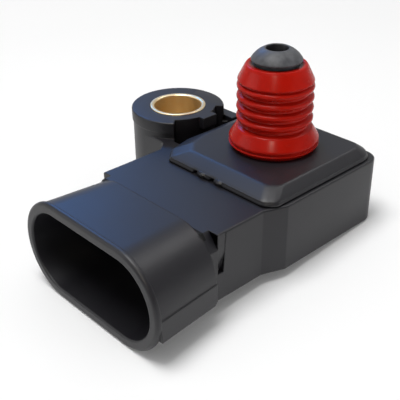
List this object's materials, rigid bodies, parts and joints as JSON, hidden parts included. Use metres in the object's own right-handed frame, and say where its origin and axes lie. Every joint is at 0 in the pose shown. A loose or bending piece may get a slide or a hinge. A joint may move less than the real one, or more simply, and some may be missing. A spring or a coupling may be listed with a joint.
{
  "type": "manifold absolute pressure sensor",
  "caption": "Moulded engine pressure sensor with an oval electrical socket, a brass-lined bolt ear and an upright hose nozzle in a ribbed red seal that plugs into an intake manifold",
  "frame": {"origin": "where the nozzle's axis meets the plane of the bolt bush's mounting end", "axes": "+Z along the nozzle towards its tip; the electrical socket opens towards -Y; the bolt ear is on the -X side"},
  "size_m": [0.0341, 0.039, 0.026],
  "materials": {
    "housing_plastic": "satin moulded, glass filled",
    "red_silicone": "satin moulded silicone",
    "brass_bush": "turned",
    "dark_adhesive": "matt",
    "board_laminate": "satin",
    "grey_plastic": "matt",
    "dark_rubber": "matt",
    "cell_glass": "polished",
    "silicon": "polished",
    "clear_gel": "clear",
    "chip_resin": "matt",
    "capacitor_body": "matt",
    "tinned_terminal": "tin plated",
    "solder": "bright"
  },
  "bodies": {
    "root": {"housing": "housing_plastic", "port_cover": "housing_plastic", "port_seal": "red_silicone", "mounting_bush": "brass_bush", "cover_adhesive": "dark_adhesive", "circuit_board": "board_laminate", "cell_carrier": "grey_plastic", "cell_gasket": "dark_rubber", "glass_pedestal": "cell_glass", "pressure_die": "silicon", "gel_fill": "clear_gel", "signal_chip": "chip_resin", "capacitor_supply": "capacitor_body", "capacitor_signal": "capacitor_body", "capacitor_filter": "capacitor_body", "resistor_load": "chip_resin", "terminal_supply": "tinned_terminal", "terminal_signal": "tinned_terminal", "terminal_ground": "tinned_terminal", "solder_supply": "solder", "solder_signal": "solder", "solder_ground": "solder"}
  },
  "joints": []
}
